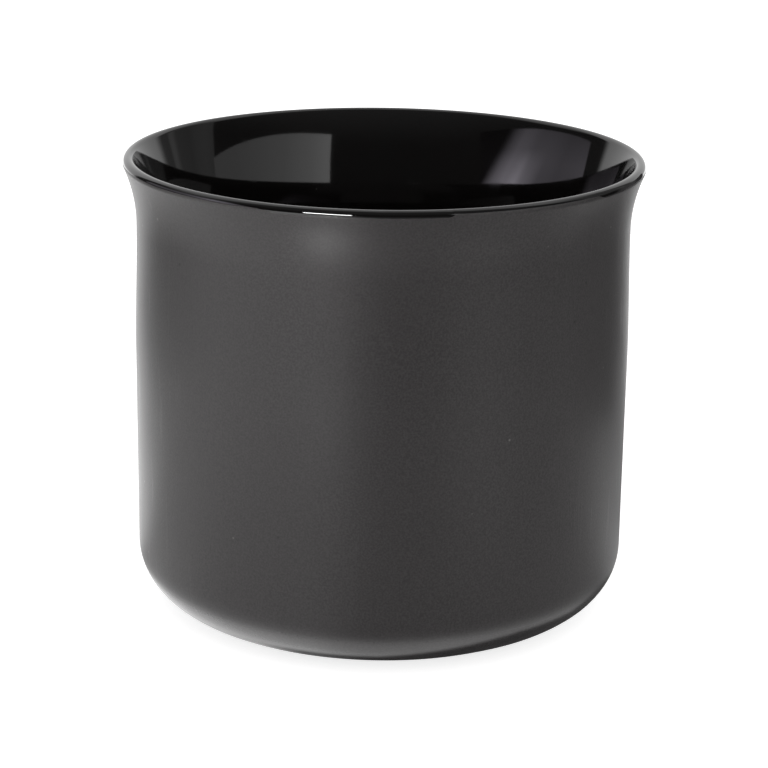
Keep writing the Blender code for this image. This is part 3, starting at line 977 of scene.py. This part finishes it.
def foot_light(tree, turn, distance):
    """The painted bright ring round the foot, and the share of painted shade inside it."""
    shift = 0.0
    for start, end, run in FOOT_GLOW_SHIFTS:
        shift = maths(tree, "ADD", shift, remap(tree, turn, start, end, 0.0, run))
    clear_of_foot = ease_between(tree, maths(tree, "SUBTRACT", distance, shift), *FOOT_GLOW_INNER)
    outer = maths(tree, "MULTIPLY_ADD", shift, -FOOT_GLOW_WIDENING, distance)
    ring = maths(tree, "MULTIPLY", clear_of_foot, ease_between(tree, outer, *FOOT_GLOW_OUTER))
    least = FOOT_GLOW_FAR_LEFT / FOOT_GLOW_LEFT
    for share in (
        remap(tree, distance, *FOOT_GLOW_FADE),
        remap(tree, turn, *FOOT_GLOW_RIGHT_TURNS, FOOT_GLOW_LEFT, FOOT_GLOW_RIGHT),
        remap(tree, turn, *FOOT_GLOW_LEFT_TURNS, least, 1.0),
    ):
        ring = maths(tree, "MULTIPLY", ring, share)
    painted_foot_shade = remap(tree, turn, *FOOT_SHADE_TURNS, 0.0, FOOT_SHADE)
    painted_foot_shade = maths(tree, "MULTIPLY", maths(tree, "SUBTRACT", 1.0, clear_of_foot), painted_foot_shade)
    return ring, painted_foot_shade


def make_floor():
    """The plain white floor, which keeps the mug's soft shadow, and the painted light and shade on it
    that only gloss sees.
    """
    material = bpy.data.materials.new("studio_floor")
    material.use_nodes = True
    material.cycles.emission_sampling = "NONE"
    tree = material.node_tree
    shader = tree.nodes["Principled BSDF"]
    shader.inputs["Roughness"].default_value = 1.0
    shader.inputs["Specular IOR Level"].default_value = 0.0
    turn, distance, place = place_on_floor(tree)
    path = tree.nodes.new("ShaderNodeLightPath").outputs
    glow = floor_light(tree, turn, distance, place, path["Ray Length"])
    ring, painted_foot_shade = foot_light(tree, turn, distance)
    kept = maths(tree, "SUBTRACT", 1.0, painted_foot_shade)
    glow = maths(tree, "MULTIPLY_ADD", glow, kept, ring)
    gloss = maths(tree, "ADD", path["Is Glossy Ray"], path["Is Transmission Ray"])
    glow = maths(tree, "MULTIPLY", glow, gloss)
    glow = maths(tree, "MULTIPLY_ADD", path["Is Camera Ray"], FLOOR_GLOW, glow)
    # Painted shade: inside the ring the floor's tone is darker to gloss
    dimmed = maths(tree, "MULTIPLY", painted_foot_shade, gloss)
    tone = maths(tree, "MULTIPLY_ADD", dimmed, -FLOOR_TONE, FLOOR_TONE)
    connect(tree, shader.inputs["Base Color"], tone)
    connect(tree, shader.inputs["Emission Color"], (1.0, 1.0, 1.0))
    connect(tree, shader.inputs["Emission Strength"], glow)
    add_stage("studio_floor", material, square(FLOOR_HALF_SIZE, 0.0), only_gloss=False)


def make_surround():
    """A sheet that only gloss sees, which paints the reflection of the dark room beyond the lit
    floor, in front of the mug and to its right.
    """
    material, tree, glow = glow_material("studio_surround")
    turn, distance, _ = place_on_floor(tree)
    strength = SURROUND_TONE
    for tone, start, full in SURROUND_BACKS:
        lit = ease_between(tree, turn, start, full)
        strength = maths(tree, "MULTIPLY_ADD", lit, tone - SURROUND_TONE, strength)
    tree.links.new(strength, glow.inputs["Strength"])
    gap = between_turns(tree, turn, *SURROUND_GAP)
    cover = ease_between(tree, distance, *SURROUND_SPAN)
    cover = maths(tree, "MULTIPLY", cover, maths(tree, "SUBTRACT", 1.0, gap, clamp=True))
    show_by(tree, glow, cover)
    add_stage("studio_surround", material, square(SURROUND_HALF_SIZE, SURROUND_HEIGHT))


def make_card():
    """A sheet held just clear of the floor, close to the mug's right, which paints the reflection of
    a dark card for gloss within its reach.
    """
    material, tree, glow = glow_material("studio_card")
    _, y, z = parts_of(tree, own_place(tree))
    behind = maths(tree, "SUBTRACT", y, BOWL_AXIS_Y)
    tone = remap(tree, behind, CARD_NEAR_END[1], CARD_FAR_END[1], CARD_TONE_NEAR, CARD_TONE_FAR)
    trim_tone = TRIM_TONES[0][1]
    for (start, before), (end, after) in zip(TRIM_TONES, TRIM_TONES[1:]):
        step = ease_between(tree, behind, start, end)
        trim_tone = maths(tree, "MULTIPLY_ADD", step, after - before, trim_tone)
    trim = ease_between(tree, z, *TRIM_START)
    change = maths(tree, "SUBTRACT", trim_tone, tone)
    tree.links.new(maths(tree, "MULTIPLY_ADD", trim, change, tone), glow.inputs["Strength"])
    only_within(tree, glow, CARD_REACH)
    corners = (
        (CARD_NEAR_END, CARD_FOOT),
        (CARD_FAR_END, CARD_FOOT),
        (CARD_FAR_END, CARD_TOP),
        (CARD_NEAR_END, CARD_TOP),
        (CARD_FAR_END, TRIM_FOOT),
        (TRIM_FAR_END, TRIM_FOOT),
        (TRIM_FAR_END, CARD_TOP),
    )
    points = [(end[0], BOWL_AXIS_Y + end[1], z) for end, z in corners]
    add_stage("studio_card", material, points, [(0, 1, 2, 3), (4, 5, 6, 2)])


def along_panel(tree, share, strengths):
    """A light's strength along its length, from (share, strength) pairs."""
    ramp = new_node(tree, "ShaderNodeFloatCurve", None, Value=maths(tree, "MAXIMUM", share, 0.0))
    curve = ramp.mapping.curves[0]
    top = max(strength for _, strength in strengths)
    curve.points[0].location = (strengths[0][0], strengths[0][1] / top)
    curve.points[1].location = (strengths[-1][0], strengths[-1][1] / top)
    for place_along, strength in strengths[1:-1]:
        curve.points.new(place_along, strength / top)
    for point in curve.points:
        point.handle_type = "VECTOR"
    ramp.mapping.update()
    return maths(tree, "MULTIPLY", ramp.outputs[0], top)


def make_canopy():
    """A canopy over the mug that only gloss sees, painting the room's reflection: dark towards the
    camera, white behind and brighter overhead.
    """
    material, tree, glow = glow_material("studio_canopy")
    way = new_node(tree, "ShaderNodeVectorMath", {"operation": "NORMALIZE"}, _0=own_place(tree))
    x, y, z = parts_of(tree, way.outputs[0])
    turn = maths(tree, "DEGREES", maths(tree, "ARCTAN2", x, maths(tree, "MULTIPLY", y, -1.0)))
    lift = maths(tree, "DEGREES", maths(tree, "ARCSINE", z))
    raised = maths(tree, "ADD", lift, remap(tree, turn, *ROOM_LEFT_LIFT))
    overhead = ease_between(tree, raised, *ROOM_OVERHEAD_LIFTS)
    overhead = maths(tree, "MULTIPLY", overhead, ease_between(tree, y, *ROOM_OVERHEAD_BACK))
    front = maths(tree, "MULTIPLY_ADD", overhead, ROOM_OVERHEAD, ROOM_FRONT)
    upper = ease_between(tree, lift, *ROOM_UPPER_LIFTS)
    front = maths(tree, "MULTIPLY_ADD", upper, ROOM_UPPER, front)
    right_side = along_panel(tree, remap(tree, turn, *ROOM_RIGHT_TURNS), ROOM_RIGHT)
    starts = remap(tree, turn, *ROOM_RIGHT_START)
    front = maths(tree, "MULTIPLY_ADD", right_side, starts, front)
    left_end = ease_between(tree, turn, *ROOM_BACK_LEFT_TURNS)
    right_end = ease_between(tree, turn, *ROOM_BACK_RIGHT_TURNS)
    behind = maths(tree, "ADD", left_end, right_end)
    strength = maths(tree, "MULTIPLY", front, maths(tree, "SUBTRACT", 1.0, behind))
    strength = maths(tree, "MULTIPLY_ADD", left_end, ROOM_BACK_LEFT, strength)
    strength = maths(tree, "MULTIPLY_ADD", right_end, ROOM_BACK_RIGHT, strength)
    tree.links.new(strength, glow.inputs["Strength"])

    climbs = np.linspace(0.0, math.pi / 2, CANOPY_RINGS + 1)[:, None]
    angles = np.linspace(0.0, 2 * math.pi, CANOPY_TURNS, endpoint=False)
    across = np.cos(climbs) * np.sin(angles)
    back = np.cos(climbs) * np.cos(angles)
    rings = CANOPY_RADIUS * np.stack((across, back, np.sin(climbs) + 0 * angles), axis=-1)
    faces = ring_faces(CANOPY_RINGS + 1, CANOPY_TURNS, False)
    canopy = add_stage("studio_canopy", material, rings.reshape(-1, 3).tolist(), faces)
    canopy.location = (0.0, BOWL_AXIS_Y, 0.0)


def make_panel(
    name, start, end, foot, colour, strengths, low_strengths=None, lean=0.0, fade=1.0
):
    """An upright light panel from one floor point to another, whose glow changes along it."""
    material, tree, glow = glow_material(name, sampled=True)
    connect(tree, glow.inputs["Color"], colour)
    share, _, rise = parts_of(tree, tree.nodes.new("ShaderNodeTexCoord").outputs["Generated"])
    share = maths(tree, "MULTIPLY_ADD", rise, -lean, share)
    strength = along_panel(tree, share, strengths)
    if low_strengths:
        low = along_panel(tree, share, low_strengths)
        lower = remap(tree, rise, 0.0, PANEL_LOW_GLOW_TOP, 1.0, 0.0)
        strength = maths(tree, "MULTIPLY_ADD", low, lower, strength)
    faded = remap(tree, rise, PANEL_FADE_START, 1.0, 1.0, fade)
    tree.links.new(maths(tree, "MULTIPLY", strength, faded), glow.inputs["Strength"])
    along = Vector((end[0] - start[0], end[1] - start[1], 0.0))
    sides = ((0.0, foot), (along.length, foot), (along.length, PANEL_TOP), (0.0, PANEL_TOP))
    panel = add_stage(name, material, [(x, 0.0, z) for x, z in sides])
    panel.location = (start[0], BOWL_AXIS_Y + start[1], 0.0)
    panel.rotation_euler = (0.0, 0.0, math.atan2(along.y, along.x))


def make_lip_light():
    """A small bright strip close to the lip's front, which only gloss within its reach sees: it
    paints the highlight on the lip.
    """
    material, tree, glow = glow_material("studio_lip_light")
    glow.inputs["Strength"].default_value = LIP_LIGHT_STRENGTH
    only_within(tree, glow, LIP_LIGHT_REACH)
    middle = Vector(LIP_LIGHT_PLACE) + Vector((0.0, BOWL_AXIS_Y, 0.0))
    across = Vector(LIP_LIGHT_ALONG) * LIP_LIGHT_SIZE[0] / 2
    rise = Vector((0.0, 0.0, LIP_LIGHT_SIZE[1] / 2))
    sides = ((-1, -1), (1, -1), (1, 1), (-1, 1))
    points = [tuple(middle + across * side + rise * up) for side, up in sides]
    add_stage("studio_lip_light", material, points)


def make_world():
    """Even white light from all round, in which a colour renders about as it is written."""
    world = bpy.data.worlds.new("studio_light")
    bpy.context.scene.world = world
    world.use_nodes = True
    background = world.node_tree.nodes["Background"]
    background.inputs["Color"].default_value = (1.0, 1.0, 1.0, 1.0)
    background.inputs["Strength"].default_value = 1.0


# The camera's place, found by fitting the lip, wall and corner to the photograph's outline
CAMERA_DISTANCE = 0.45765
CAMERA_ELEVATION = 0.20159
CAMERA_YAW = 0.00114
CAMERA_PITCH = 0.2974
CAMERA_ROLL = 0.01441
CAMERA_FOCAL_PIXELS = 2337.36
IMAGE_WIDTH = 768
SENSOR_WIDTH = 36.0


def make_camera():
    """The camera at the photograph's angle."""
    data = bpy.data.cameras.new("camera")
    data.sensor_width = SENSOR_WIDTH
    data.lens = SENSOR_WIDTH * CAMERA_FOCAL_PIXELS / IMAGE_WIDTH
    data.clip_start = 0.01
    data.clip_end = 100.0
    camera = bpy.data.objects.new("camera", data)
    bpy.context.scene.collection.objects.link(camera)
    bpy.context.scene.camera = camera
    back = CAMERA_DISTANCE * math.cos(CAMERA_ELEVATION)
    rise = CAMERA_DISTANCE * math.sin(CAMERA_ELEVATION)
    ahead = Vector(
        (
            math.sin(CAMERA_YAW),
            math.cos(CAMERA_YAW) * math.cos(CAMERA_PITCH),
            -math.sin(CAMERA_PITCH),
        )
    ).normalized()
    right = ahead.cross(Vector((0.0, 0.0, 1.0))).normalized()
    up = right.cross(ahead)
    turned_right = right * math.cos(CAMERA_ROLL) + up * math.sin(CAMERA_ROLL)
    turned_up = up * math.cos(CAMERA_ROLL) - right * math.sin(CAMERA_ROLL)
    matrix = Matrix((turned_right, turned_up, -ahead)).transposed().to_4x4()
    matrix.translation = (0.0, BOWL_AXIS_Y - back, LIP_CENTRE_HEIGHT + rise)
    camera.matrix_world = matrix


make_camera()
bpy.context.scene.view_settings.view_transform = "Standard"

clay = make_clay("fired_clay", pale=(0.56, 0.50, 0.42), deep=(0.46, 0.40, 0.32), roughness=0.88)
slip = make_clay("fired_slip", pale=(0.52, 0.47, 0.40), deep=(0.44, 0.39, 0.32), roughness=0.90)
matt = make_matt_glaze()
gloss = make_gloss_glaze()

make_clay_body(clay)
make_outer_coat(matt)
make_inner_coat(gloss)
make_handle_coat(matt)
make_recess_coat(matt)
for name, material in (("handle", clay), ("upper_slip_joint", slip), ("lower_slip_joint", slip)):
    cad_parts[name].data.materials.clear()
    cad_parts[name].data.materials.append(material)

make_world()
make_floor()
make_surround()
make_card()
make_canopy()
make_panel(
    "right_panel",
    start=(0.40, -0.69),
    end=(1.83, 0.31),
    foot=0.0,
    colour=(0.91, 0.91, 0.91),
    strengths=((0.0, 2.05), (0.086, 1.55), (0.215, 1.12), (0.39, 0.88), (0.6, 0.70), (1.0, 0.60)),
)
make_panel(
    "left_panel",
    start=(-0.637, -0.461),
    end=(-1.31, 0.82),
    foot=0.22,
    colour=(0.865, 0.81, 0.915),
    strengths=(
        (0.0, 0.055),
        (0.02, 0.25),
        (0.06, 1.1),
        (0.11, 1.75),
        (0.16, 1.6),
        (0.22, 1.2),
        (0.36, 1.0),
        (0.5, 0.74),
        (1.0, 0.68),
    ),
    low_strengths=(
        (0.0, 0.0),
        (0.06, 1.0),
        (0.14, 1.5),
        (0.19, 2.6),
        (0.23, 1.4),
        (0.34, 0.0),
        (1.0, 0.0),
    ),
    lean=0.17,
    fade=0.62,
)
make_lip_light()
